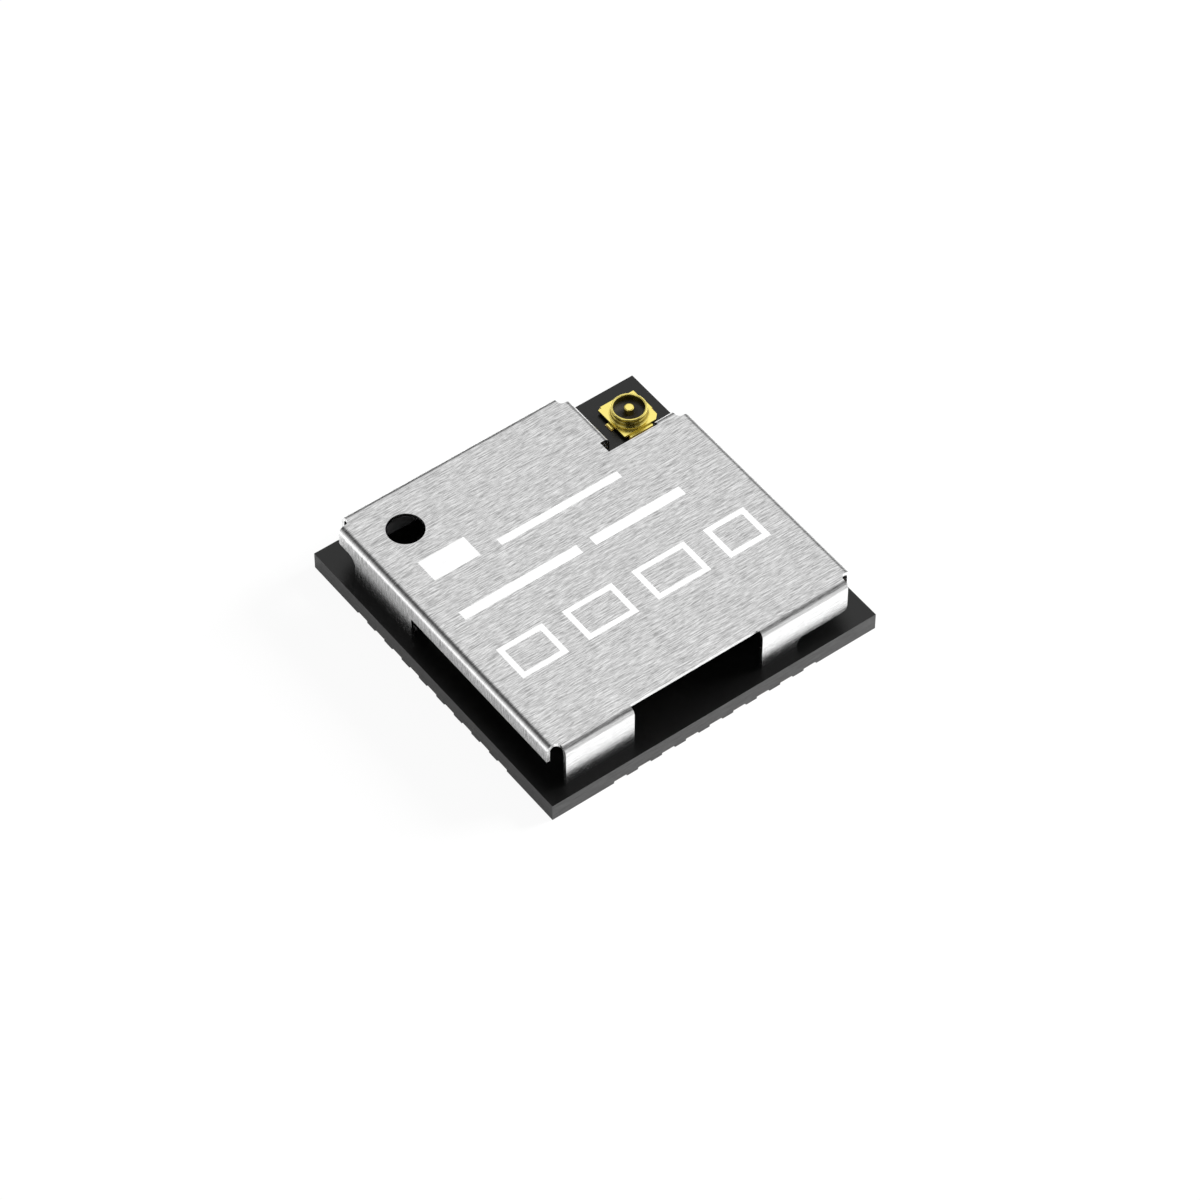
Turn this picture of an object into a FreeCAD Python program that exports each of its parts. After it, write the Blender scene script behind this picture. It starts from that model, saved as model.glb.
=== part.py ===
import FreeCAD
import Part
import math
import os

# A solder-down radio module. A black circuit board carries a folded sheet-metal
# shield can, a miniature coaxial antenna connector in the corner that the can
# leaves free, and the radio's own components under the can.
# Sizes are in millimetres. The origin is the middle of the board's underside and
# +Z is up. The connector stands in the +X +Y corner. "Front" is the -Y side,
# "back" +Y, "left" -X and "right" +X.

Vector = FreeCAD.Vector

# Circuit board
board_side = 15.0
board_thickness = 0.8
copper_thickness = 0.03

# Solder pads, recessed round the edge of the underside
pads_per_side = 9
pad_pitch = 1.1
recess_width = 0.6
recess_height = 0.1
recess_reach = 0.9
pad_margin = 0.05
pad_thickness = 0.04

# Ground pads, recessed in the middle of the underside
ground_pads_per_row = 3
ground_pad_pitch = 3.0
ground_recess_side = 1.9

# Shield can
can_margin = 0.5
can_height = 2.0
sheet = 0.15
bend_radius = 0.3
corner_relief = 0.5
relief_round = 0.2
pin_one_hole_diameter = 1.5
pin_one_hole_from_wall = 2.0

# Feet and lips of the can's walls
front_left_foot = 3.1
front_right_foot = 4.0
front_right_foot_standing = 1.65
front_right_foot_lift = 0.5
foot_corner_round = 0.25
lip_clearance = 1.17
side_foot = 3.6
side_foot_from_corner = 1.0
side_foot_round = 0.4

# Notch in the can for the antenna connector
notch_side = 3.2
notch_slot_width = 0.45
notch_slot_length = 0.56
notch_tab = 0.83

# Lands and solder that hold the feet
land_width = 0.3
land_end_margin = 0.25
solder_leg = 0.28

# Antenna connector
connector_from_right_edge = 1.4
connector_from_back_edge = 1.64
connector_height = 0.6
shell_sheet = 0.1
shell_plate_side = 1.7
shell_plate_lift = 0.1
shell_plate_chamfer = 0.2
ring_diameter = 1.43
ring_wall = 0.1
ring_rim = 0.1
ring_groove_depth = 0.04
ring_groove_height = 0.12
ring_foot_flare = 0.06
rim_chamfer = 0.03
ground_tail_width = 1.08
ground_tail_offset = 0.11
ground_tail_reach = 0.13
ground_tail_underlap = 0.07
index_tail_width = 0.5
index_tail_reach = 0.08
insulator_inset = 0.1
insulator_floor = 0.2
insulator_draft = 0.02
contact_diameter = 0.4
contact_chamfer = 0.04
contact_below_rim = 0.01
contact_sheet = 0.06
contact_tail_width = 0.34
contact_tail_reach = 0.12
connector_land_margin = 0.03

# Leadless chips under the can: the radio, its two front ends and the memory
radio_side = 5.0
radio_height = 0.85
radio_leads_per_side = 10
radio_paddle_side = 3.4
front_end_side = 2.0
front_end_height = 0.55
front_end_leads_per_side = 3
front_end_paddle_side = 1.1
memory_length = 3.0
memory_width = 2.0
memory_height = 0.6
memory_leads_per_side = 4
lead_pitch = 0.4
memory_lead_pitch = 0.5
lead_width = 0.2
lead_length = 0.35
lead_thickness = 0.05
chip_edge_chamfer = 0.06
chip_dimple_diameter = 0.35
chip_dimple_depth = 0.04
chip_dimple_inset = 0.38

# Crystal
crystal_length = 2.5
crystal_width = 2.0
crystal_base_height = 0.4
crystal_lid_height = 0.15
crystal_lid_margin = 0.12
crystal_lid_round = 0.15
crystal_corner_scoop = 0.15
crystal_terminal_length = 0.8
crystal_terminal_width = 0.65

# Two-ended components: capacitors, resistors, inductors and the band filter
chip_length = 1.0
chip_width = 0.5
capacitor_height = 0.5
resistor_height = 0.35
glaze_thickness = 0.03
bulk_length = 1.6
bulk_width = 0.8
bulk_height = 0.8
cap_reach = 0.25
plating = 0.02
filter_length = 2.0
filter_width = 1.25
filter_height = 0.8
filter_band_width = 0.5
power_inductor_length = 2.0
power_inductor_width = 1.6
power_inductor_height = 0.95
power_inductor_bevel = 0.15
power_inductor_plate = 0.1
power_inductor_foot = 0.5
power_inductor_upright = 0.55

# Counts and spacing of the components under the can
chips_per_row = 4
resistor_count = 3
bulk_count = 3
radio_middle = -0.7
wall_gap = 0.65
row_gap = 0.45
block_gap = 0.6
chip_spacing = 1.3
land_overhang = 0.04

# Places worked out from the sizes above
up = Vector(0, 0, 1)
board_top = board_thickness
board_half = board_side / 2
can_half = board_half - can_margin
can_top = board_top + can_height
bend_line = can_half - bend_radius
wall_end = can_half - corner_relief
notch_face = can_half - notch_side
notch_bend_line = notch_face - bend_radius
notch_wall_end = notch_face - corner_relief
inner_wall = can_half - sheet
connector_x = board_half - connector_from_right_edge
connector_y = board_half - connector_from_back_edge
chip_seat = board_top + copper_thickness


def block(x_low, x_high, y_low, y_high, z_low, z_high):
    return Part.makeBox(x_high - x_low, y_high - y_low, z_high - z_low, Vector(x_low, y_low, z_low))


def block_between(first, second):
    """A block between two opposite corners, given in any order."""
    low_x, high_x = sorted((first.x, second.x))
    low_y, high_y = sorted((first.y, second.y))
    low_z, high_z = sorted((first.z, second.z))
    return block(low_x, high_x, low_y, high_y, low_z, high_z)


def centred_block(x, y, length, width, z_low, height):
    return block(x - length / 2, x + length / 2, y - width / 2, y + width / 2, z_low, z_low + height)


def rounded_face(corners):
    """A flat face from (point, radius) corners, each rounded to its radius."""
    edges = []
    count = len(corners)
    stretch_ends = []
    for index, (point, radius) in enumerate(corners):
        before = (corners[index - 1][0] - point).normalize()
        after = (corners[(index + 1) % count][0] - point).normalize()
        if radius == 0:
            stretch_ends.append((point, None, point))
            continue
        half_angle = before.getAngle(after) / 2
        trim = radius / math.tan(half_angle)
        middle = (before + after).normalize()
        centre = point + middle * (radius / math.sin(half_angle))
        stretch_ends.append((point + before * trim, centre - middle * radius, point + after * trim))
    for index, (start, middle, end) in enumerate(stretch_ends):
        if middle is not None:
            edges.append(Part.Arc(start, middle, end).toShape())
        following = stretch_ends[(index + 1) % count][0]
        if end.distanceToPoint(following) > 1e-6:
            edges.append(Part.LineSegment(end, following).toShape())
    return Part.Face(Part.Wire(edges))


def rounded_plate(corners, z_low, height):
    """A flat plate from (x, y, radius) corners."""
    outline = [(Vector(x, y, z_low), radius) for x, y, radius in corners]
    return rounded_face(outline).extrude(up * height)


def rounded_rectangle(length, width, radius, z_low, height):
    corners = [(across * length / 2, along * width / 2, radius)
               for across, along in ((-1, -1), (1, -1), (1, 1), (-1, 1))]
    return rounded_plate(corners, z_low, height)


# A wall of the can: a point on it is given by its distance along the wall, its
# distance outwards and its height.
class Wall:
    def __init__(self, along, outward, face):
        self.along = along
        self.outward = outward
        self.face = face

    def point(self, run, out, height):
        return self.along * run + self.outward * out + up * height

    def bend(self, start, end):
        """The quarter-round bend from the lid down into the wall."""
        out = self.face - bend_radius
        height = can_top - bend_radius

        def on_arc(radius, degrees):
            angle = math.radians(degrees)
            return self.point(start, out + radius * math.cos(angle), height + radius * math.sin(angle))

        outside = Part.Arc(on_arc(bend_radius, 90), on_arc(bend_radius, 45), on_arc(bend_radius, 0))
        inner_radius = bend_radius - sheet
        inside = Part.Arc(on_arc(inner_radius, 0), on_arc(inner_radius, 45), on_arc(inner_radius, 90))
        edges = [outside.toShape(),
                 Part.LineSegment(on_arc(bend_radius, 0), on_arc(inner_radius, 0)).toShape(),
                 inside.toShape(),
                 Part.LineSegment(on_arc(inner_radius, 90), on_arc(bend_radius, 90)).toShape()]
        return Part.Face(Part.Wire(edges)).extrude(self.along * (end - start))

    def panel(self, corners):
        """The flat part of the wall, from (run, height, radius) corners."""
        outline = [(self.point(run, self.face - sheet, height), radius) for run, height, radius in corners]
        return rounded_face(outline).extrude(self.outward * sheet)

    def foot_corners(self, start, end):
        """A plain foot that stands on the board over its whole length."""
        top = can_top - bend_radius
        return [(start, top, 0), (start, board_top, 0), (end, board_top, 0), (end, top, 0)]

    def lip_corners(self, start, end, foot_start, foot_end, rounded_at_end):
        """A lip that hangs clear of the board, with one foot that reaches it."""
        top = can_top - bend_radius
        lip = board_top + lip_clearance
        start_round = 0 if rounded_at_end else side_foot_round
        end_round = side_foot_round if rounded_at_end else 0
        return [(start, top, 0), (start, lip, 0),
                (foot_start, lip, start_round), (foot_start, board_top, 0),
                (foot_end, board_top, 0), (foot_end, lip, end_round),
                (end, lip, 0), (end, top, 0)]

    def strip(self, start, end, width):
        """A strip of the board's copper beside the wall's inner face."""
        near = self.face - sheet
        return block_between(self.point(start, near - width, board_top),
                             self.point(end, near, board_top + copper_thickness))

    def fillet(self, start, end):
        """A hollow solder fillet between the land and the wall's inner face."""
        out = self.face - sheet
        height = board_top + copper_thickness
        corner = self.point(start, out, height)
        toe = self.point(start, out - solder_leg, height)
        crest = self.point(start, out, height + solder_leg)
        reach = solder_leg * (1 - math.sqrt(0.5))
        waist = self.point(start, out - reach, height + reach)
        edges = [Part.LineSegment(corner, toe).toShape(), Part.Arc(toe, waist, crest).toShape(),
                 Part.LineSegment(crest, corner).toShape()]
        return Part.Face(Part.Wire(edges)).extrude(self.along * (end - start))


front_wall = Wall(Vector(1, 0, 0), Vector(0, -1, 0), can_half)
back_wall = Wall(Vector(1, 0, 0), Vector(0, 1, 0), can_half)
left_wall = Wall(Vector(0, 1, 0), Vector(-1, 0, 0), can_half)
right_wall = Wall(Vector(0, 1, 0), Vector(1, 0, 0), can_half)
notch_back_wall = Wall(Vector(1, 0, 0), Vector(0, 1, 0), notch_face)
notch_right_wall = Wall(Vector(0, 1, 0), Vector(1, 0, 0), notch_face)

# Where each wall stands on the board: (wall, start, end)
foot_far = wall_end - side_foot_from_corner
foot_near = foot_far - side_foot
front_gap_start = -wall_end + front_left_foot
front_gap_end = wall_end - front_right_foot
notch_tab_start = wall_end - notch_tab
notch_slot_end = notch_bend_line + notch_slot_length
feet = [(front_wall, -wall_end, front_gap_start),
        (front_wall, front_gap_end, front_gap_end + front_right_foot_standing),
        (left_wall, foot_near, foot_far),
        (back_wall, -foot_far, -foot_near),
        (right_wall, -foot_far, -foot_near),
        (notch_right_wall, notch_slot_end, wall_end),
        (notch_back_wall, notch_tab_start, wall_end)]


def can_lid():
    """The flat top, cut along its bend lines, with the corner reliefs and the pin-one hole."""
    slot_x = notch_face - notch_slot_width
    corners = [(-bend_line, -wall_end, 0), (-wall_end, -wall_end, relief_round), (-wall_end, -bend_line, 0),
               (wall_end, -bend_line, 0), (wall_end, -wall_end, relief_round), (bend_line, -wall_end, 0),
               (bend_line, notch_wall_end, 0), (wall_end, notch_wall_end, relief_round),
               (wall_end, notch_bend_line, 0), (slot_x, notch_bend_line, 0), (slot_x, notch_slot_end, 0),
               (notch_bend_line, notch_slot_end, 0), (notch_bend_line, wall_end, 0),
               (notch_wall_end, wall_end, relief_round), (notch_wall_end, bend_line, 0),
               (-wall_end, bend_line, 0), (-wall_end, wall_end, relief_round), (-bend_line, wall_end, 0)]
    lid = rounded_plate(corners, can_top - sheet, sheet)
    hole_middle = Vector(pin_one_hole_from_wall - can_half, can_half - pin_one_hole_from_wall, board_top)
    return lid.cut(Part.makeCylinder(pin_one_hole_diameter / 2, 2 * can_height, hole_middle))


def shield_can():
    """One blank of sheet: the lid with every wall folded down from it."""
    top = can_top - bend_radius
    lift = board_top + front_right_foot_lift
    standing_end = front_gap_end + front_right_foot_standing
    stepped_foot = [(front_gap_end, top, 0), (front_gap_end, board_top, 0), (standing_end, board_top, 0),
                    (standing_end, lift, foot_corner_round), (wall_end, lift, foot_corner_round),
                    (wall_end, top, 0)]
    left_lip = left_wall.lip_corners(-wall_end, wall_end, foot_near, foot_far, True)
    far_lip = back_wall.lip_corners(-wall_end, notch_wall_end, -foot_far, -foot_near, False)
    folds = [front_wall.bend(-wall_end, front_gap_start),
             front_wall.panel(front_wall.foot_corners(-wall_end, front_gap_start)),
             front_wall.bend(front_gap_end, wall_end),
             front_wall.panel(stepped_foot),
             left_wall.bend(-wall_end, wall_end),
             left_wall.panel(left_lip),
             back_wall.bend(-wall_end, notch_wall_end),
             back_wall.panel(far_lip),
             right_wall.bend(-wall_end, notch_wall_end),
             right_wall.panel(far_lip),
             notch_right_wall.bend(notch_slot_end, wall_end),
             notch_right_wall.panel(notch_right_wall.foot_corners(notch_slot_end, wall_end)),
             notch_back_wall.bend(notch_tab_start, wall_end),
             notch_back_wall.panel(notch_back_wall.foot_corners(notch_tab_start, wall_end))]
    return can_lid().fuse(folds).removeSplitter()


def shield_lands():
    """Copper lands on the board, just inside each standing foot."""
    return [wall.strip(start + land_end_margin, end - land_end_margin, land_width)
            for wall, start, end in feet]


def shield_solder():
    """The solder that fillets each foot to its land."""
    return [wall.fillet(start + land_end_margin, end - land_end_margin) for wall, start, end in feet]


def edge_places():
    """The middle of each edge pad at the board's edge, with the way it points inwards."""
    first = -pad_pitch * (pads_per_side - 1) / 2
    places = []
    for index in range(pads_per_side):
        run = first + pad_pitch * index
        places.append((Vector(run, -board_half, 0), Vector(0, 1, 0)))
        places.append((Vector(board_half, run, 0), Vector(-1, 0, 0)))
        places.append((Vector(-run, board_half, 0), Vector(0, -1, 0)))
        places.append((Vector(-board_half, -run, 0), Vector(1, 0, 0)))
    return places


def edge_bar(place, inwards, start, end, width, z_low, height):
    """A bar that runs inwards from the board's edge, between two distances from it."""
    sideways = Vector(inwards.y, -inwards.x, 0) * (width / 2)
    return block_between(place + inwards * start - sideways + up * z_low,
                         place + inwards * end + sideways + up * (z_low + height))


def ground_places():
    first = -ground_pad_pitch * (ground_pads_per_row - 1) / 2
    return [(first + ground_pad_pitch * column, first + ground_pad_pitch * row)
            for row in range(ground_pads_per_row) for column in range(ground_pads_per_row)]


def circuit_board():
    """The laminate, with a recess in its underside for each pad."""
    slab = centred_block(0, 0, board_side, board_side, 0, board_thickness)
    recesses = [edge_bar(place, inwards, 0, recess_reach, recess_width, 0, recess_height)
                for place, inwards in edge_places()]
    recesses += [centred_block(x, y, ground_recess_side, ground_recess_side, 0, recess_height)
                 for x, y in ground_places()]
    return slab.cut(recesses)


def edge_pads():
    return [edge_bar(place, inwards, pad_margin, recess_reach - pad_margin, recess_width - 2 * pad_margin,
                     recess_height - pad_thickness, pad_thickness) for place, inwards in edge_places()]


def ground_pads():
    side = ground_recess_side - 2 * pad_margin
    return [centred_block(x, y, side, side, recess_height - pad_thickness, pad_thickness)
            for x, y in ground_places()]


# Heights inside the connector, above the board
tail_seat = board_top + copper_thickness
plate_low = board_top + shell_plate_lift
plate_high = plate_low + shell_sheet
ring_top = board_top + connector_height
ring_radius = ring_diameter / 2
ring_bore = ring_radius - ring_wall
plate_half = shell_plate_side / 2


def connector_ring():
    """The drawn ring: a flared foot, a groove for the plug to snap into and a rim."""
    rim_low = ring_top - ring_rim
    groove_low = rim_low - ring_groove_height
    waist = ring_radius - ring_groove_depth

    def at(radius, height):
        return Vector(connector_x + radius, connector_y, height)

    flare_radius = ring_radius + ring_foot_flare
    flare_top = plate_high + ring_foot_flare
    diagonal = ring_foot_flare * (1 - math.sqrt(0.5))
    flare = Part.Arc(at(flare_radius, plate_high), at(ring_radius + diagonal, plate_high + diagonal),
                     at(ring_radius, flare_top))
    groove = Part.Arc(at(ring_radius, groove_low), at(waist, (groove_low + rim_low) / 2),
                      at(ring_radius, rim_low))
    rim_and_bore = Part.makePolygon([at(ring_radius, rim_low), at(ring_radius, ring_top - rim_chamfer),
                                     at(ring_radius - rim_chamfer, ring_top),
                                     at(ring_bore + rim_chamfer, ring_top),
                                     at(ring_bore, ring_top - rim_chamfer), at(ring_bore, plate_low),
                                     at(flare_radius, plate_low), at(flare_radius, plate_high)])
    shaft = Part.LineSegment(at(ring_radius, flare_top), at(ring_radius, groove_low))
    outline = Part.Wire([flare.toShape(), shaft.toShape(), groove.toShape()] + rim_and_bore.Edges)
    return Part.Face(outline).revolve(Vector(connector_x, connector_y, 0), up, 360)


def antenna_shell():
    """The connector's stamped ground shell: base plate, ring and tails."""
    low_x = connector_x - plate_half
    high_x = connector_x + plate_half
    low_y = connector_y - plate_half
    high_y = connector_y + plate_half
    corners = [(low_x, low_y, 0), (high_x - shell_plate_chamfer, low_y, 0),
               (high_x, low_y + shell_plate_chamfer, 0), (high_x, high_y, 0), (low_x, high_y, 0)]
    plate = rounded_plate(corners, plate_low, shell_sheet)
    bore = Part.makeCylinder(ring_bore, connector_height, Vector(connector_x, connector_y, board_top))
    tail_x = connector_x - ground_tail_offset
    half_width = ground_tail_width / 2
    front_tail = block(tail_x - half_width, tail_x + half_width, low_y - ground_tail_reach,
                       low_y + ground_tail_underlap, tail_seat, tail_seat + shell_sheet)
    back_tail = block(tail_x - half_width, tail_x + half_width, high_y - ground_tail_underlap,
                      high_y + ground_tail_reach, tail_seat, tail_seat + shell_sheet)
    index_tail = block(high_x - ground_tail_underlap, high_x + index_tail_reach,
                       connector_y - index_tail_width / 2, connector_y + index_tail_width / 2,
                       tail_seat, tail_seat + shell_sheet)
    plate = plate.cut(bore)
    return plate.fuse([connector_ring(), front_tail, back_tail, index_tail]).removeSplitter()


def contact_strip(z_low):
    """The contact's flat strip, from its tail to under the pin, with its underside at z_low."""
    half_width = contact_tail_width / 2
    return block(connector_x - plate_half - contact_tail_reach, connector_x + contact_diameter / 2,
                 connector_y - half_width, connector_y + half_width, z_low, tail_seat + contact_sheet)


def antenna_contact():
    """The connector's centre contact: a pin standing on a strip that leads out to a tail."""
    pin_low = tail_seat + contact_sheet
    pin_top = ring_top - contact_below_rim
    radius = contact_diameter / 2

    def at(distance, height):
        return Vector(connector_x + distance, connector_y, height)

    outline = Part.makePolygon([at(0, pin_low), at(radius, pin_low), at(radius, pin_top - contact_chamfer),
                                at(radius - contact_chamfer, pin_top), at(0, pin_top), at(0, pin_low)])
    pin = Part.Face(outline).revolve(Vector(connector_x, connector_y, 0), up, 360)
    return contact_strip(tail_seat).fuse(pin).removeSplitter()


def antenna_insulator():
    """The moulded insulator between the shell and the contact."""
    side = shell_plate_side - 2 * insulator_inset
    body = centred_block(connector_x, connector_y, side, side, board_top, shell_plate_lift)
    floor = Part.makeCone(ring_bore, ring_bore - insulator_draft, insulator_floor,
                          Vector(connector_x, connector_y, plate_low))
    pin = Part.makeCylinder(contact_diameter / 2, connector_height,
                            Vector(connector_x, connector_y, board_top))
    return body.fuse(floor).removeSplitter().cut([pin, contact_strip(board_top)])


def antenna_lands():
    """The board's lands under the connector's tails."""
    margin = connector_land_margin

    def land(across, along, tail_length, tail_width, tail_reach, shift):
        """A land under one tail, which points along (across, along) from the plate's edge."""
        outer = plate_half + tail_reach + margin
        inner = plate_half - insulator_inset + margin
        middle = (outer + inner) / 2
        length = abs(across) * (outer - inner) + abs(along) * (tail_length + 2 * margin)
        width = abs(along) * (outer - inner) + abs(across) * (tail_width + 2 * margin)
        return centred_block(connector_x + across * middle + shift, connector_y + along * middle,
                             length, width, board_top, copper_thickness)

    return [land(0, -1, ground_tail_width, 0, ground_tail_reach, -ground_tail_offset),
            land(0, 1, ground_tail_width, 0, ground_tail_reach, -ground_tail_offset),
            land(1, 0, 0, index_tail_width, index_tail_reach, 0),
            land(-1, 0, 0, contact_tail_width, contact_tail_reach, 0)]


# Components are drawn round the origin, lying along X with their underside at
# z = 0, and are then turned, moved and set down on their lands.
def at_places(solids, places):
    """A component's solids at each of its places: (x, y, quarter turns)."""
    copies = []
    for x, y, quarter_turns in places:
        for solid in solids:
            copy = solid.copy()
            copy.rotate(Vector(0, 0, 0), up, 90 * quarter_turns)
            copy.translate(Vector(x, y, chip_seat))
            copies.append(copy)
    return copies


def land_under(terminal):
    """A copper land that reaches a little past the terminal that stands on it."""
    box = terminal.BoundBox
    return block(box.XMin - land_overhang, box.XMax + land_overhang,
                 box.YMin - land_overhang, box.YMax + land_overhang, board_top, chip_seat)


def chip_body(length, width, height):
    """A moulded chip with chamfered upper edges and a dimple that marks its first lead."""
    body = centred_block(0, 0, length, width, lead_thickness, height - lead_thickness)
    upper = [edge for edge in body.Edges
             if all(abs(vertex.Z - height) < 1e-6 for vertex in edge.Vertexes)]
    body = body.makeChamfer(chip_edge_chamfer, upper)
    dimple = Part.makeCylinder(chip_dimple_diameter / 2, 2 * chip_dimple_depth,
                               Vector(chip_dimple_inset - length / 2, width / 2 - chip_dimple_inset,
                                      height - chip_dimple_depth))
    return body.cut(dimple)


def two_rows_of_leads(length, width, leads, pitch):
    """Leads under the two long edges of a chip, flush with its sides."""
    first = -pitch * (leads - 1) / 2
    return [centred_block(first + pitch * index, side * (width - lead_length) / 2,
                          lead_width, lead_length, 0, lead_thickness)
            for index in range(leads) for side in (-1, 1)]


def four_rows_of_leads(side, leads, pitch):
    """Leads under all four edges of a square chip."""
    rows = two_rows_of_leads(side, side, leads, pitch)
    turned = [lead.copy() for lead in rows]
    for lead in turned:
        lead.rotate(Vector(0, 0, 0), up, 90)
    return rows + turned


def chip_paddle(side):
    """The ground paddle under the middle of a chip."""
    return centred_block(0, 0, side, side, 0, lead_thickness)


def capped_chip(length, width, height):
    """A two-ended chip: its body, and a plated cap wrapped round each end."""
    body = centred_block(0, 0, length - 2 * plating, width - 2 * plating,
                         plating, height - 2 * plating)
    caps = [centred_block(side * (length - cap_reach) / 2, 0, cap_reach, width, 0, height).cut(body)
            for side in (-1, 1)]
    return body, caps


def resistor_cover():
    """The glaze over a chip resistor's element, between its caps."""
    return centred_block(0, 0, chip_length - 2 * cap_reach, chip_width - 2 * plating,
                         resistor_height - plating, glaze_thickness)


def filter_parts():
    """A ceramic filter: a body with a cap on each end and a ground band round its middle."""
    body, caps = capped_chip(filter_length, filter_width, filter_height)
    band = centred_block(0, 0, filter_band_width, filter_width, 0, filter_height).cut(body)
    return body, caps + [band]


def power_inductor_parts():
    """A moulded power inductor: a block with bevelled upright edges between two bent plates."""
    half_length = power_inductor_length / 2
    block_half = half_length - power_inductor_plate
    half_width = power_inductor_width / 2
    bevel = power_inductor_bevel
    corners = []
    for across, along in ((-1, -1), (1, -1), (1, 1), (-1, 1)):
        on_end = (across * block_half, along * (half_width - bevel), 0)
        on_side = (across * (block_half - bevel), along * half_width, 0)
        corners += [on_end, on_side] if across == along else [on_side, on_end]
    body = rounded_plate(corners, power_inductor_plate, power_inductor_height - power_inductor_plate)
    plates = []
    for side in (-1, 1):
        foot = centred_block(side * (half_length - power_inductor_foot / 2), 0, power_inductor_foot,
                             power_inductor_width - 2 * bevel, 0, power_inductor_plate)
        upright = centred_block(side * (half_length - power_inductor_plate / 2), 0, power_inductor_plate,
                                power_inductor_width - 2 * bevel, 0, power_inductor_upright)
        plates.append(foot.fuse(upright).removeSplitter())
    return body, plates


def crystal_parts():
    """A crystal: a ceramic base with scooped corners, a metal lid and four terminals."""
    scoops = [Part.makeCylinder(crystal_corner_scoop, crystal_base_height + 2 * plating,
                                Vector(across * crystal_length / 2, along * crystal_width / 2, 0))
              for across in (-1, 1) for along in (-1, 1)]
    base = centred_block(0, 0, crystal_length, crystal_width, plating, crystal_base_height).cut(scoops)
    lid_length = crystal_length - 2 * crystal_lid_margin
    lid_width = crystal_width - 2 * crystal_lid_margin
    lid = rounded_rectangle(lid_length, lid_width, crystal_lid_round,
                            plating + crystal_base_height, crystal_lid_height)
    reach_x = (crystal_length - crystal_terminal_length) / 2
    reach_y = (crystal_width - crystal_terminal_width) / 2
    terminals = [centred_block(across * reach_x, along * reach_y, crystal_terminal_length,
                               crystal_terminal_width, 0, plating).cut(scoops)
                 for across in (-1, 1) for along in (-1, 1)]
    return base, lid, terminals


def spread(middle, spacing, count):
    """The places of a row's members along one axis."""
    return [middle + spacing * (index - (count - 1) / 2) for index in range(count)]


# Where the components stand under the can: (x, y, quarter turns)
radio_half = radio_side / 2
beside_radio = radio_half + row_gap + chip_width / 2
behind_y = radio_middle + beside_radio
before_y = radio_middle - beside_radio
front_end_y = behind_y + chip_width / 2 + row_gap + front_end_side / 2
filter_x = notch_face - wall_gap - filter_width / 2
front_end_x = filter_x - filter_width / 2 - row_gap - front_end_side / 2
second_front_end_x = front_end_x - front_end_side - row_gap
matching_x = second_front_end_x - front_end_side / 2 - row_gap - chip_length / 2
memory_x = -inner_wall + wall_gap + memory_width / 2
crystal_x = -inner_wall + wall_gap + crystal_width / 2
power_inductor_x = inner_wall - wall_gap - power_inductor_length / 2
power_inductor_y = -inner_wall + wall_gap + power_inductor_width / 2
second_inductor_y = power_inductor_y + power_inductor_width + block_gap
bulk_x = inner_wall - wall_gap - bulk_length / 2
bulk_pitch = bulk_width + row_gap
bulk_y = second_inductor_y + power_inductor_width / 2 + row_gap + bulk_width / 2
resistor_y = before_y - chip_width - row_gap

radio_places = [(radio_middle, radio_middle, 0)]
front_end_places = [(front_end_x, front_end_y, 0), (second_front_end_x, front_end_y, 0)]
memory_places = [(memory_x, radio_middle - (block_gap + memory_length) / 2, 1)]
crystal_places = [(crystal_x, radio_middle + (block_gap + crystal_length) / 2, 1)]
filter_places = [(filter_x, front_end_y, 1)]
power_inductor_places = [(power_inductor_x, power_inductor_y, 0), (power_inductor_x, second_inductor_y, 0)]
bulk_places = [(bulk_x, bulk_y + bulk_pitch * index, 0) for index in range(bulk_count)]
row = spread(radio_middle, chip_spacing, chips_per_row)
capacitor_places = [(x, behind_y, 0) for x in row]
capacitor_places += [(x, before_y, 0) for x in row]
capacitor_places += [(radio_middle + beside_radio, y, 1) for y in row]
resistor_places = [(x, resistor_y, 0) for x in spread(radio_middle, chip_spacing, resistor_count)]
radio_inductor_places = [(matching_x, front_end_y, 0), (row[-1] + chip_spacing, behind_y, 0),
                         (row[-1] + 2 * chip_spacing, behind_y, 0)]

crystal_base, crystal_lid, crystal_terminals = crystal_parts()
filter_body, filter_terminals = filter_parts()
inductor_body, inductor_plates = power_inductor_parts()
bulk_body, bulk_caps = capped_chip(bulk_length, bulk_width, bulk_height)
capacitor_body, capacitor_caps = capped_chip(chip_length, chip_width, capacitor_height)
resistor_body, resistor_caps = capped_chip(chip_length, chip_width, resistor_height)
radio_leads = four_rows_of_leads(radio_side, radio_leads_per_side, lead_pitch)
front_end_leads = four_rows_of_leads(front_end_side, front_end_leads_per_side, lead_pitch)
memory_leads = two_rows_of_leads(memory_length, memory_width, memory_leads_per_side, memory_lead_pitch)

# What is soldered to the board under the can
terminals = {
    "radio_leads": at_places(radio_leads, radio_places),
    "radio_paddle": at_places([chip_paddle(radio_paddle_side)], radio_places),
    "front_end_leads": at_places(front_end_leads, front_end_places),
    "front_end_paddles": at_places([chip_paddle(front_end_paddle_side)], front_end_places),
    "memory_leads": at_places(memory_leads, memory_places),
    "crystal_terminals": at_places(crystal_terminals, crystal_places),
    "band_filter_terminals": at_places(filter_terminals, filter_places),
    "power_inductor_terminals": at_places(inductor_plates, power_inductor_places),
    "bulk_capacitor_terminals": at_places(bulk_caps, bulk_places),
    "capacitor_terminals": at_places(capacitor_caps, capacitor_places),
    "radio_inductor_terminals": at_places(capacitor_caps, radio_inductor_places),
    "resistor_terminals": at_places(resistor_caps, resistor_places),
}
component_lands = [land_under(terminal) for group in terminals.values() for terminal in group]

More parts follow.
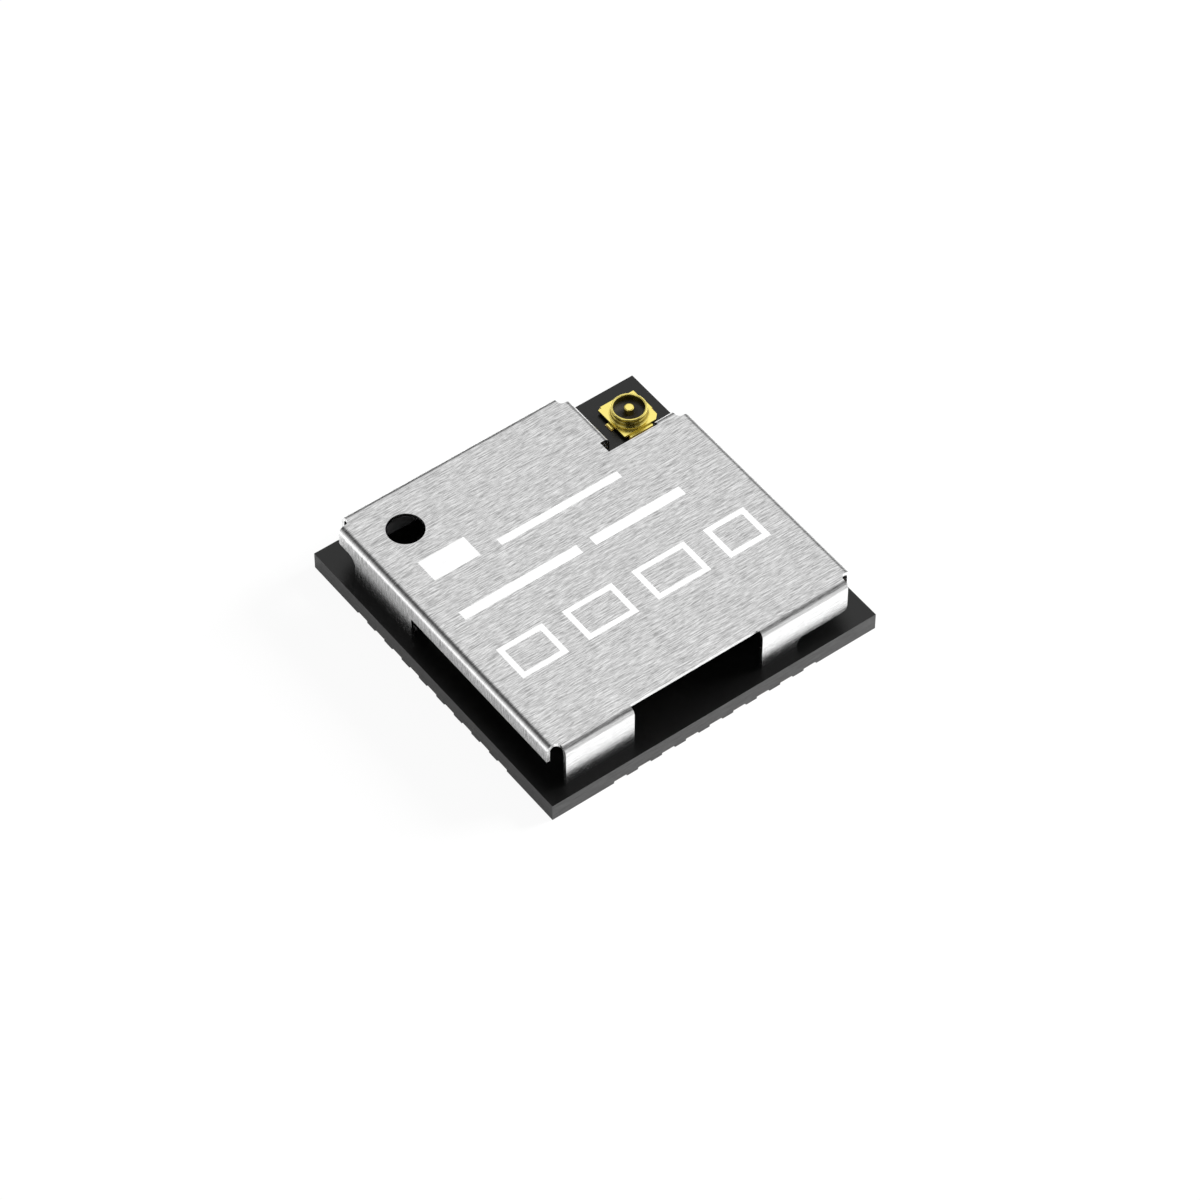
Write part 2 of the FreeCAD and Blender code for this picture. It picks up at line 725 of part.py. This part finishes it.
nodes = {
    "circuit_board": [circuit_board()],
    "edge_pads": edge_pads(),
    "ground_pads": ground_pads(),
    "component_lands": component_lands,
    "shield_can": [shield_can()],
    "shield_lands": shield_lands(),
    "shield_solder": shield_solder(),
    "antenna_shell": [antenna_shell()],
    "antenna_insulator": [antenna_insulator()],
    "antenna_contact": [antenna_contact()],
    "antenna_lands": antenna_lands(),
    "radio_chip": at_places([chip_body(radio_side, radio_side, radio_height)], radio_places),
    "front_end_chips": at_places([chip_body(front_end_side, front_end_side, front_end_height)],
                                 front_end_places),
    "memory_chip": at_places([chip_body(memory_length, memory_width, memory_height)], memory_places),
    "crystal_base": at_places([crystal_base], crystal_places),
    "crystal_lid": at_places([crystal_lid], crystal_places),
    "band_filter": at_places([filter_body], filter_places),
    "power_inductors": at_places([inductor_body], power_inductor_places),
    "bulk_capacitors": at_places([bulk_body], bulk_places),
    "capacitors": at_places([capacitor_body], capacitor_places),
    "radio_inductors": at_places([capacitor_body], radio_inductor_places),
    "resistors": at_places([resistor_body], resistor_places),
    "resistor_glaze": at_places([resistor_cover()], resistor_places),
}
nodes.update(terminals)

os.makedirs("parts", exist_ok=True)
for name, solids in nodes.items():
    Part.makeCompound(solids).exportStep("parts/" + name + ".step")
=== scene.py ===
import math

import bpy
from mathutils import Matrix, Vector


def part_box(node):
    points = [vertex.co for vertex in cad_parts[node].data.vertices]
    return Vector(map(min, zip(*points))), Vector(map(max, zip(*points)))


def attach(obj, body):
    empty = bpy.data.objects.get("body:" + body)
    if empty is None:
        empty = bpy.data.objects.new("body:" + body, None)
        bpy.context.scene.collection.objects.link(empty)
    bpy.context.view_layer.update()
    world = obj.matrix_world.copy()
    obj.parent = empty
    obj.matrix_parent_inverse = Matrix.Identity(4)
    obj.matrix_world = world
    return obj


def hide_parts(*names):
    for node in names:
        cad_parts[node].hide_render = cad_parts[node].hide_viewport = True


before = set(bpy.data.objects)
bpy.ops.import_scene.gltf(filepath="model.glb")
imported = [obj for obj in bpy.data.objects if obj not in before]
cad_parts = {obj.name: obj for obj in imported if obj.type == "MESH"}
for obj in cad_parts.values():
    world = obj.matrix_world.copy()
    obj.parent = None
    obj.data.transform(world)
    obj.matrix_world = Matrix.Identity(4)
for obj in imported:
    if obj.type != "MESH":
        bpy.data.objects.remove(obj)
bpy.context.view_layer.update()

MM = 0.001


# The circuit board is a black laminate of glass cloth and resin, cut to a square by a
# saw. A satin black solder mask covers its two faces, and its cut edges show the laminate.
class Value:
    """An output in a node tree. Plain arithmetic on it adds the nodes that work it out."""

    def __init__(self, nodes, socket):
        self.nodes = nodes
        self.socket = socket

    def math(self, operation, *numbers):
        return self.nodes.node("ShaderNodeMath", {"operation": operation}, dict(enumerate(numbers)))

    def __add__(self, other):
        return self.math("ADD", self, other)

    def __radd__(self, other):
        return self.math("ADD", other, self)

    def __sub__(self, other):
        return self.math("SUBTRACT", self, other)

    def __rsub__(self, other):
        return self.math("SUBTRACT", other, self)

    def __mul__(self, other):
        return self.math("MULTIPLY", self, other)

    def __rmul__(self, other):
        return self.math("MULTIPLY", other, self)

    def __abs__(self):
        return self.math("ABSOLUTE", self)

    def over(self, limit):
        """1 where the value is over the limit, else 0."""
        return self.math("GREATER_THAN", self, limit)

    def highest(self, other):
        return self.math("MAXIMUM", self, other)

    def between(self, low, high):
        """Rises smoothly from 0 at low to 1 at high."""
        return self.nodes.node("ShaderNodeMapRange", {"interpolation_type": "SMOOTHSTEP"},
                               {"Value": self, "From Min": low, "From Max": high})


class Nodes:
    """The nodes of one finish, of the world or of the floor."""

    def __init__(self, tree):
        self.tree = tree
        tree.nodes.clear()

    def node(self, kind, settings=None, sockets=None, output=0):
        """Adds a node, sets its settings, then fills or links its sockets."""
        made = self.tree.nodes.new(kind)
        for name, value in (settings or {}).items():
            setattr(made, name, value)
        for name, value in (sockets or {}).items():
            if isinstance(value, Value):
                self.tree.links.new(value.socket, made.inputs[name])
            else:
                made.inputs[name].default_value = value
        return Value(self, made.outputs[output]) if len(made.outputs) else None

    def parts(self, vector):
        """The X, Y and Z parts of a vector."""
        made = self.node("ShaderNodeSeparateXYZ", {}, {"Vector": vector})
        outputs = made.socket.node.outputs
        return [Value(self, socket) for socket in outputs]

    def join(self, x, y, z):
        return self.node("ShaderNodeCombineXYZ", {}, {"X": x, "Y": y, "Z": z})

    def place(self):
        """The place on the object, in millimetres."""
        where = self.node("ShaderNodeTexCoord", {}, {}, "Object")
        scaled = self.node("ShaderNodeVectorMath", {"operation": "SCALE"}, {0: where, "Scale": 1 / MM})
        return self.parts(scaled)

    def facing(self):
        """The way the surface faces."""
        return self.parts(self.node("ShaderNodeNewGeometry", {}, {}, "Normal"))

    def noise(self, x, y, z, scale=1.0, detail=2.0, roughness=0.5):
        where = self.join(x, y, z)
        return self.node("ShaderNodeTexNoise", {},
                         {"Vector": where, "Scale": scale, "Detail": detail, "Roughness": roughness})

    def tint(self, amount, low, high):
        """A colour between low and high."""
        return self.node("ShaderNodeMix", {"data_type": "RGBA"}, {0: amount, 6: low, 7: high}, 2)

    def bump(self, height, depth_mm):
        return self.node("ShaderNodeBump", {}, {"Height": height, "Distance": depth_mm * MM})

    def surface(self, sockets):
        """Ends a material in one Principled surface."""
        shader = self.node("ShaderNodeBsdfPrincipled", {}, sockets)
        self.node("ShaderNodeOutputMaterial", {}, {"Surface": shader})


def grey(level):
    return (level, level, level, 1.0)


def finish(name):
    """A new material and its nodes."""
    material = bpy.data.materials.new(name)
    material.use_nodes = True
    return material, Nodes(material.node_tree)


def coat(material, *nodes):
    """Gives a material to pieces of the frame."""
    for node in nodes:
        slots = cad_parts[node].data.materials
        slots.clear()
        slots.append(material)


black_board, board = finish("black board")
x, y, z = board.place()
faces_x, faces_y, faces_z = board.facing()
masked = abs(faces_z).between(0.5, 0.8)
orange_peel = board.noise(x, y, z, scale=9.0, detail=3.0)
cloth = board.noise((x + y) * 1.2, z * 14.0, (x - y) * 1.2, detail=2.0)
edge_colour = board.tint((cloth - 0.5) * 2.2 + 0.5, grey(0.004), grey(0.034))
mask_colour = board.tint(orange_peel, grey(0.0015), grey(0.0035))
board.surface({"Base Color": board.tint(masked, edge_colour, mask_colour),
               "Roughness": 0.5 - masked * 0.18 + (orange_peel - 0.5) * 0.1, "Specular IOR Level": 0.42,
               "Normal": board.bump(orange_peel * masked + cloth * (1.0 - masked), 0.002)})
coat(black_board, "circuit_board")

# The pads and lands are copper with a thin gold plating, which keeps the fine roll
# marks of the copper under it.
gold_pads, pads = finish("gold plated pads")
x, y, z = pads.place()
roll_marks = pads.noise(x * 2.0, y * 14.0, z, detail=3.0)
pads.surface({"Base Color": pads.tint(roll_marks, (0.78, 0.55, 0.22, 1), (0.92, 0.70, 0.33, 1)),
              "Metallic": 1.0, "Roughness": 0.28 + roll_marks * 0.16,
              "Normal": pads.bump(roll_marks, 0.001)})
coat(gold_pads, "edge_pads", "ground_pads", "component_lands", "antenna_lands", "crystal_terminals")

# The radio, front-end and memory chips are moulded in a black compound whose filler
# leaves a fine grain. Their leads and the end caps of the small parts are tin plated.
moulded_chips, chips = finish("moulded chips")
x, y, z = chips.place()
filler = chips.noise(x, y, z, scale=30.0, detail=4.0)
chips.surface({"Base Color": chips.tint(filler, grey(0.018), grey(0.035)), "Roughness": 0.5 + filler * 0.2,
               "Normal": chips.bump(filler, 0.003)})
coat(moulded_chips, "radio_chip", "front_end_chips", "memory_chip")

tin, tinned = finish("tin plating")
x, y, z = tinned.place()
crystals = tinned.noise(x, y, z, scale=18.0, detail=3.0)
tinned.surface({"Base Color": tinned.tint(crystals, (0.55, 0.55, 0.56, 1), (0.70, 0.70, 0.71, 1)),
                "Metallic": 1.0, "Roughness": 0.32 + crystals * 0.2,
                "Normal": tinned.bump(crystals, 0.002)})
coat(tin, "radio_leads", "radio_paddle", "front_end_leads", "front_end_paddles", "memory_leads",
     "band_filter_terminals", "power_inductor_terminals", "bulk_capacitor_terminals",
     "capacitor_terminals", "radio_inductor_terminals", "resistor_terminals")


# The capacitors, inductors, resistors, filter and crystal are fired ceramic or pressed
# ferrite, each kind in its own colour. A glaze covers each resistor, and a lid the crystal.
def fired(name, dark, light, roughness, *nodes):
    """A fired body with a fine grain between two colours."""
    material, body = finish(name)
    x, y, z = body.place()
    grain = body.noise(x, y, z, scale=22.0, detail=4.0)
    body.surface({"Base Color": body.tint(grain, dark, light), "Roughness": roughness + grain * 0.15,
                  "Normal": body.bump(grain, 0.003)})
    coat(material, *nodes)


fired("capacitor ceramic", (0.36, 0.25, 0.15, 1), (0.48, 0.35, 0.22, 1), 0.4,
      "capacitors", "bulk_capacitors")
fired("inductor ceramic", (0.14, 0.22, 0.27, 1), (0.22, 0.31, 0.36, 1), 0.4, "radio_inductors")
fired("pale ceramic", (0.66, 0.65, 0.61, 1), (0.80, 0.79, 0.76, 1), 0.45,
      "band_filter", "resistors", "crystal_base")
fired("pressed ferrite", grey(0.045), grey(0.09), 0.55, "power_inductors")
fired("black glaze", grey(0.01), grey(0.02), 0.12, "resistor_glaze")

lid_metal, lid = finish("crystal lid")
x, y, z = lid.place()
roll_marks = lid.noise(x * 3.0, y * 24.0, z, detail=3.0)
lid.surface({"Base Color": lid.tint(roll_marks, (0.58, 0.55, 0.47, 1), (0.72, 0.69, 0.60, 1)),
             "Metallic": 1.0, "Roughness": 0.25 + roll_marks * 0.15, "Normal": lid.bump(roll_marks, 0.001)})
coat(lid_metal, "crystal_lid")

# Solder has run up the inside of each of the shield's feet and set with a smooth skin.
solder_skin, solder = finish("solder")
x, y, z = solder.place()
flow = solder.noise(x, y, z, scale=4.0, detail=2.0)
solder.surface({"Base Color": solder.tint(flow, (0.28, 0.28, 0.29, 1), (0.42, 0.42, 0.43, 1)),
                "Metallic": 0.8, "Roughness": 0.42 + flow * 0.16, "Normal": solder.bump(flow, 0.004)})
coat(solder_skin, "shield_solder", "shield_lands")

# The shield can is one blank of bright sheet metal, brushed along X, printed with plain white bars and
# frames, punched and folded. The brush lines run on down the walls. They are faint at the front and back
# and on the left bend. There the colour is painted lighter: a faint painted sheen on the front and back
# walls, and a painted highlight on the left bend.
hole_x = -5.0
hole_y = 5.0
hole_radius = 0.752
hole_steps = 128
frames_low = -3.4
frames_high = -1.7
frame_stroke = 0.24


def merged_copy(name, node):
    """A new piece with a node's form, its triangles merged into whole faces."""
    piece = bpy.data.objects.new(name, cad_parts[node].data.copy())
    bpy.context.scene.collection.objects.link(piece)
    piece.data.materials.clear()
    bpy.ops.object.select_all(action="DESELECT")
    bpy.context.view_layer.objects.active = piece
    piece.select_set(True)
    bpy.ops.object.mode_set(mode="EDIT")
    bpy.ops.mesh.select_all(action="SELECT")
    bpy.ops.mesh.remove_doubles(threshold=1e-7)
    bpy.ops.mesh.dissolve_limited(angle_limit=math.radians(0.5))
    bpy.ops.object.mode_set(mode="OBJECT")
    return piece


def smooth_bends(piece, sharpest_degrees):
    """Shades a piece smooth over its bends, and flat over its flat faces."""
    bpy.ops.object.select_all(action="DESELECT")
    bpy.context.view_layer.objects.active = piece
    piece.select_set(True)
    bpy.ops.object.shade_smooth_by_angle(angle=math.radians(sharpest_degrees))
    weighted = piece.modifiers.new("flats", "WEIGHTED_NORMAL")
    weighted.keep_sharp = True
    bpy.ops.object.modifier_apply(modifier=weighted.name)


shield = merged_copy("brushed_shield", "shield_can")
lid_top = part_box("shield_can")[1][2] / MM
bpy.ops.mesh.primitive_cylinder_add(vertices=hole_steps, radius=hole_radius * MM, depth=1.0 * MM,
                                    location=(hole_x * MM, hole_y * MM, lid_top * MM))
punch = bpy.context.object
punched = shield.modifiers.new("pin-one hole", "BOOLEAN")
punched.operation = "DIFFERENCE"
punched.solver = "EXACT"
punched.object = punch
bpy.context.view_layer.objects.active = shield
bpy.ops.object.modifier_apply(modifier=punched.name)
bpy.data.objects.remove(punch)
smooth_bends(shield, 30)
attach(shield, "root")
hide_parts("shield_can")

brushed_steel, steel = finish("brushed steel")
x, y, z = steel.place()
faces_x, faces_y, faces_z = steel.facing()
side = abs(faces_x).over(abs(faces_y))
drop = lid_top - z
waver = (steel.noise(x, y, z, scale=0.7, detail=1.0) - 0.5) * 0.08
along = x + x.math("SIGN", x) * drop * side
across = y + y.math("SIGN", y) * drop * (1.0 - side) + waver
fine_lines = steel.noise(along * 2.6, across * 21.0, 0.0, detail=2.0, roughness=0.7)
long_lines = steel.noise(along * 0.9, across * 30.0, 5.0, detail=1.0)
clouds = steel.noise(x, y, z, scale=0.9, detail=2.0)
shade = (fine_lines - 0.5) * 2.3 + (long_lines - 0.5) * 1.7 + (clouds - 0.5) * 0.1
# Painted sheen: the front and back walls are painted a little lighter, with fainter grain.
front_back_painted_sheen = abs(faces_y).between(0.5, 0.9)
# Painted highlight: the left bend is painted much lighter, with fainter grain.
left_bend_painted_highlight = (0.0 - faces_x).over(0.3) * faces_z.between(0.10, 0.30) * (1.0 - faces_z.between(0.65, 0.90))
calm = 1.0 - front_back_painted_sheen * 0.62 - left_bend_painted_highlight * 0.6
bare_metal = steel.tint(shade * calm + front_back_painted_sheen * 0.05 + left_bend_painted_highlight * 0.25 + 0.5, grey(0.34), grey(0.88))


def printed(x_low, x_high, y_low, y_high):
    """1 inside an upright rectangle on the lid, else 0."""
    beside = abs(x - (x_low + x_high) / 2) - (x_high - x_low) / 2
    above = abs(y - (y_low + y_high) / 2) - (y_high - y_low) / 2
    return 1.0 - beside.highest(above).between(-0.015, 0.015)


def outlined(x_low, x_high, y_low, y_high, stroke):
    """1 on the line round an upright rectangle on the lid, else 0."""
    return (printed(x_low, x_high, y_low, y_high)
            - printed(x_low + stroke, x_high - stroke, y_low + stroke, y_high - stroke))


ink = printed(-5.6, -3.5, 2.3, 3.4)
for bar in ((-2.6, 3.0, 2.2, 2.55), (-5.8, -0.4, 0.1, 0.55), (0.2, 4.4, 0.1, 0.55)):
    ink = ink + printed(*bar)
for left_side, right_side in ((-5.75, -3.65), (-2.75, -0.45), (0.45, 2.9), (3.8, 5.7)):
    ink = ink + outlined(left_side, right_side, frames_low, frames_high, frame_stroke)
ink = ink * faces_z.over(0.9)
white_ink = steel.tint(shade + 0.5, grey(0.66), grey(0.76))
steel.surface({"Base Color": steel.tint(ink, bare_metal, white_ink), "Metallic": 1.0 - ink,
               "Roughness": 0.25 + (fine_lines - 0.5) * 0.12 + ink * 0.3,
               "Normal": steel.bump(fine_lines + long_lines, 0.003)})
shield.data.materials.append(brushed_steel)

# The antenna connector's ground shell is drawn and stamped from thin sheet, and plated with
# bright gold. Its ring has a rolled rim, a groove that a plug snaps into, and a flared foot.
# The ring's waist, below the rim, is painted a darker gold as painted shade.
connector_low, connector_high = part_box("antenna_insulator")
connector_x = (connector_low[0] + connector_high[0]) / 2 / MM
connector_y = (connector_low[1] + connector_high[1]) / 2 / MM
board_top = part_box("circuit_board")[1][2] / MM
turning_steps = 96


def arc(middle, height, radius, start_degrees, end_degrees, steps):
    """Points on an arc of a turned profile, as (distance from the axis, height)."""
    turn = end_degrees - start_degrees
    angles = [math.radians(start_degrees + turn * step / steps) for step in range(steps + 1)]
    return [(middle + radius * math.cos(angle), height + radius * math.sin(angle)) for angle in angles]


def turned(name, profile, closed):
    """A piece turned round the connector's axis, from its profile's points in order."""
    centre = (connector_x * MM, connector_y * MM, 0)
    radius, height = profile[0]
    bpy.ops.object.select_all(action="DESELECT")
    bpy.ops.mesh.primitive_circle_add(vertices=turning_steps, radius=radius * MM,
                                      location=(centre[0], centre[1], height * MM))
    piece = bpy.context.object
    piece.name = name
    bpy.ops.object.transform_apply(location=True, rotation=True, scale=True)
    bpy.ops.object.mode_set(mode="EDIT")
    bpy.ops.mesh.select_all(action="SELECT")
    stops = profile[1:] + (profile[:1] if closed else [])
    for next_radius, next_height in stops:
        rise = (0, 0, (next_height - height) * MM)
        spread = next_radius / radius
        bpy.ops.mesh.extrude_region_move(TRANSFORM_OT_translate={"value": rise})
        bpy.ops.transform.resize(value=(spread, spread, 1), center_override=centre)
        radius, height = next_radius, next_height
    if not closed:
        bpy.ops.mesh.edge_face_add()
    bpy.ops.mesh.select_all(action="SELECT")
    bpy.ops.mesh.remove_doubles(threshold=1e-7)
    bpy.ops.mesh.normals_make_consistent(inside=False)
    bpy.ops.object.mode_set(mode="OBJECT")
    return piece


def cut_off_above(piece, height):
    """Takes away all of a piece that stands above a height."""
    bpy.ops.object.select_all(action="DESELECT")
    bpy.context.view_layer.objects.active = piece
    piece.select_set(True)
    bpy.ops.object.mode_set(mode="EDIT")
    bpy.ops.mesh.select_all(action="DESELECT")
    bpy.ops.object.mode_set(mode="OBJECT")
    for vertex in piece.data.vertices:
        vertex.select = vertex.co.z / MM > height + 0.001
    bpy.ops.object.mode_set(mode="EDIT")
    bpy.ops.mesh.delete(type="VERT")
    bpy.ops.object.mode_set(mode="OBJECT")


def joined(piece, other):
    """Makes two pieces one."""
    bpy.ops.object.select_all(action="DESELECT")
    other.select_set(True)
    piece.select_set(True)
    bpy.context.view_layer.objects.active = piece
    bpy.ops.object.join()
    return piece


plate_low = board_top + 0.1
plate_top = board_top + 0.2
ring_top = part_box("antenna_shell")[1][2] / MM
ring_radius = 0.715
ring_bore = 0.615
rim_round = 0.045
groove_high = ring_top - 0.08
groove_height = 0.18
groove_depth = 0.045
flare_height = 0.14
flare_width = 0.065
curve_steps = 14
steps_down = [step / curve_steps for step in range(curve_steps + 1)]
ring_groove = [(ring_radius - groove_depth * math.sin(math.pi * down) ** 2,
                groove_high - groove_height * down) for down in steps_down]
ring_flare = [(ring_radius + flare_width * math.sin(math.pi / 2 * down) ** 4,
               plate_top + flare_height * (1 - down)) for down in steps_down]
ring_profile = (
    [(ring_bore, plate_low), (ring_bore, ring_top - rim_round - 0.05)]
    + arc(ring_bore + rim_round, ring_top - rim_round, rim_round, 180, 90, 8)
    + arc(ring_radius - rim_round, ring_top - rim_round, rim_round, 90, 0, 8)
    + ring_groove + ring_flare
    + [(ring_radius + flare_width, plate_top - 0.02), (ring_bore + 0.02, plate_low + 0.01)])
shell = merged_copy("gold_shell", "antenna_shell")
cut_off_above(shell, plate_top)
shell = joined(shell, turned("ring", ring_profile, True))
smooth_bends(shell, 35)
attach(shell, "root")
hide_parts("antenna_shell")

bright_gold, gold = finish("bright gold plating")
x, y, z = gold.place()
wear = gold.noise(x, y, z, scale=7.0, detail=3.0)
bright_plating = gold.tint(wear, (0.93, 0.77, 0.19, 1), (1.0, 0.86, 0.27, 1))
# Painted shade: a darker gold on the ring, inside and out, and on the pin, from just above the plate up to
# below the rim.
painted_shade_plating = gold.tint(wear, (0.36, 0.29, 0.06, 1), (0.46, 0.37, 0.09, 1))
below_rim = 1.0 - z.between(groove_high - 0.04, groove_high + 0.01)
waist_painted_shade = z.between(plate_top, plate_top + 0.08) * below_rim
gold.surface({"Base Color": gold.tint(waist_painted_shade, bright_plating, painted_shade_plating), "Metallic": 1.0,
              "Roughness": 0.18 + wear * 0.1, "Normal": gold.bump(wear, 0.001)})
shell.data.materials.append(bright_gold)

# The connector's centre contact is a turned pin on a flat strip, in the same bright gold, with the same
# painted shade below the rim's height.
pin_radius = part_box("antenna_contact")[1][0] / MM - connector_x
pin_round = 0.05
pin_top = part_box("antenna_contact")[1][2] / MM
strip_top = board_top + 0.09
pin_profile = ([(pin_radius, strip_top - 0.01), (pin_radius, pin_top - pin_round - 0.02)]
               + arc(pin_radius - pin_round, pin_top - pin_round, pin_round, 0, 90, 5) + [(0.08, pin_top)])
contact = merged_copy("gold_contact", "antenna_contact")
cut_off_above(contact, strip_top)
contact = joined(contact, turned("pin", pin_profile, False))
smooth_bends(contact, 35)
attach(contact, "root")
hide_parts("antenna_contact")
contact.data.materials.append(bright_gold)

# A black moulding under the plate and inside the ring holds the shell and the contact apart.
floor_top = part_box("antenna_insulator")[1][2] / MM
floor_profile = [(pin_radius, plate_low - 0.01), (ring_bore, plate_low - 0.01), (ring_bore, floor_top),
                 (pin_radius + 0.05, floor_top), (pin_radius + 0.02, floor_top - 0.02),
                 (pin_radius, floor_top - 0.02)]
insulator = merged_copy("black_insulator", "antenna_insulator")
cut_off_above(insulator, plate_low)
insulator = joined(insulator, turned("insulator_floor", floor_profile, True))
smooth_bends(insulator, 35)
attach(insulator, "root")
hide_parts("antenna_insulator")

black_moulding, moulding = finish("black moulding")
x, y, z = moulding.place()
flow = moulding.noise(x, y, z, scale=12.0, detail=3.0)
moulding.surface({"Base Color": moulding.tint(flow, (0.020, 0.018, 0.014, 1), (0.032, 0.029, 0.023, 1)),
                  "Roughness": 0.34 + flow * 0.15, "Normal": moulding.bump(flow, 0.002)})
insulator.data.materials.append(black_moulding)

# The module stands on a white floor, which shows white to the camera and keeps the module's soft shadow. In
# the metal's reflections it glows brighter, and far off at the front and the right it is painted darker: a
# painted reflection. From below it is clear, so that the pads show there.
floor_size = 4.0
floor_drop = 0.01
bpy.ops.object.select_all(action="DESELECT")
bpy.ops.mesh.primitive_plane_add(size=floor_size, location=(0, 0, -floor_drop * MM))
bpy.ops.object.transform_apply(location=True, rotation=True, scale=True)
floor = bpy.context.object
floor.name = "floor"
white_floor, ground = finish("white floor")
ray_kinds = ground.node("ShaderNodeLightPath").socket.node.outputs
camera_ray = Value(ground, ray_kinds["Is Camera Ray"])
glossy_ray = Value(ground, ray_kinds["Is Glossy Ray"])
clear_ray = Value(ground, ray_kinds["Is Transmission Ray"])
x, y, z = ground.place()
# Painted reflection: seen in the metal, the floor far off at the front and the right is painted darker, and
# the floor glows brighter.
far_floor_painted_dark = (0.0 - y).between(9.0, 16.0).highest(x.between(9.0, 16.0)) * glossy_ray
paint = ground.node("ShaderNodeBsdfDiffuse", {}, {"Color": ground.tint(far_floor_painted_dark, grey(0.95), grey(0.45))})
white = ground.node("ShaderNodeEmission", {}, {"Color": grey(1.0), "Strength": 1.0})
glow = (camera_ray + clear_ray) * 0.93
plain = ground.node("ShaderNodeMixShader", {}, {"Fac": glow, 1: paint, 2: white})
bright = ground.node("ShaderNodeEmission", {}, {"Color": grey(1.0), "Strength": 4.0})
shine = glossy_ray * 0.1 - far_floor_painted_dark * 0.06
mixed = ground.node("ShaderNodeMixShader", {}, {"Fac": shine, 1: plain, 2: bright})
clear = ground.node("ShaderNodeBsdfTransparent")
from_below = ground.node("ShaderNodeNewGeometry", {}, {}, "Backfacing")
one_sided = ground.node("ShaderNodeMixShader", {}, {"Fac": from_below, 1: mixed, 2: clear})
ground.node("ShaderNodeOutputMaterial", {}, {"Surface": one_sided})
floor.data.materials.append(white_floor)

# A bright room lights the module from all round. Dark panels at the left, the front, the back
# and the right draw the lines on the bends, and one behind the camera shades the ring. The
# bends mirror only a narrow strip of the room, so the panels are no wider than that.
panel_along = (0.6, 0.8)
panel_across = (0.8, -0.6)
strip_x = 0.385
strip_y = 0.511
world = bpy.data.worlds.new("studio")
bpy.context.scene.world = world
world.use_nodes = True
room = Nodes(world.node_tree)
to_x, to_y, to_z = room.parts(room.node("ShaderNodeTexCoord", {}, {}, "Generated"))
to_back = to_x * panel_along[0] + to_y * panel_along[1]
to_right = to_x * panel_across[0] + to_y * panel_across[1]
front_bend_strip = 1.0 - abs(to_x - strip_x).between(0.17, 0.37)
side_bend_strip = 1.0 - abs(to_y - strip_y).between(0.30, 0.60)
above = to_z.between(-0.10, 0.0)
left_panel = (0.0 - to_right).between(0.05, 0.55) * to_z.between(-0.10, 0.75) * side_bend_strip
front_panel = to_right.between(0.05, 0.50) * to_z.between(0.12, 0.80) * front_bend_strip
back_panel = to_y.between(0.5, 0.8) * (1.0 - to_z.between(0.50, 0.75)) * above * front_bend_strip
right_panel = to_x.between(0.5, 0.75) * (1.0 - to_z.between(0.45, 0.65)) * above * side_bend_strip
behind_camera = (0.0 - to_back).between(0.15, 0.45) * (1.0 - abs(to_right).between(0.3, 0.6))
camera_panel = behind_camera * to_z.between(-0.05, 0.10)
ray_kinds = room.node("ShaderNodeLightPath").socket.node.outputs
seen = Value(room, ray_kinds["Is Camera Ray"])
mirrored = Value(room, ray_kinds["Is Glossy Ray"])
level = (1.12 - left_panel * 1.05 - front_panel * 0.92 - back_panel * 0.82 - right_panel * 0.80
         - camera_panel * mirrored)
brightness = seen + (1.0 - seen) * level.highest(0.03) * (0.6 + mirrored * 0.4)
room_colour = room.join(brightness, brightness, brightness)
room_light = room.node("ShaderNodeBackground", {}, {"Color": room_colour, "Strength": 1.0})
room.node("ShaderNodeOutputWorld", {}, {"Surface": room_light})

# A key lamp low at the right throws a soft shadow to the left. It stays out of the metal's
# reflections.
key_towards = Vector((0.87, -0.20, 0.45)).normalized()
key_distance = 0.40
key_size = 0.15
key_watts = 4.0
lamp = bpy.data.lights.new("key lamp", "AREA")
lamp.shape = "SQUARE"
lamp.size = key_size
lamp.energy = key_watts
key = bpy.data.objects.new("key lamp", lamp)
bpy.context.scene.collection.objects.link(key)
key.location = key_towards * key_distance
key.rotation_euler = key_towards.to_track_quat("Z", "Y").to_euler()
key.visible_glossy = False

# The camera stands at the front left, well above the module, with a long lens.
view_azimuth = math.radians(-36.958)
view_elevation = math.radians(50.241)
view_distance = 0.20012
sensor_width = 36.0
lens = 160.58
framing_right = 0.2371 * MM
framing_up = -0.6076 * MM
back = Vector((math.sin(view_azimuth) * math.cos(view_elevation),
               -math.cos(view_azimuth) * math.cos(view_elevation), math.sin(view_elevation)))
right = Vector((math.cos(view_azimuth), math.sin(view_azimuth), 0.0))
upright = back.cross(right)
eye = bpy.data.cameras.new("camera")
eye.sensor_width = sensor_width
eye.lens = lens
eye.clip_start = 0.01
eye.clip_end = 20.0
camera = bpy.data.objects.new("camera", eye)
bpy.context.scene.collection.objects.link(camera)
target = Vector((0, 0, board_top * MM)) + right * framing_right + upright * framing_up
camera.matrix_world = Matrix.Translation(target + back * view_distance) @ Matrix(
    (right, upright, back)).transposed().to_4x4()
bpy.context.scene.camera = camera
bpy.context.scene.view_settings.view_transform = "Standard"
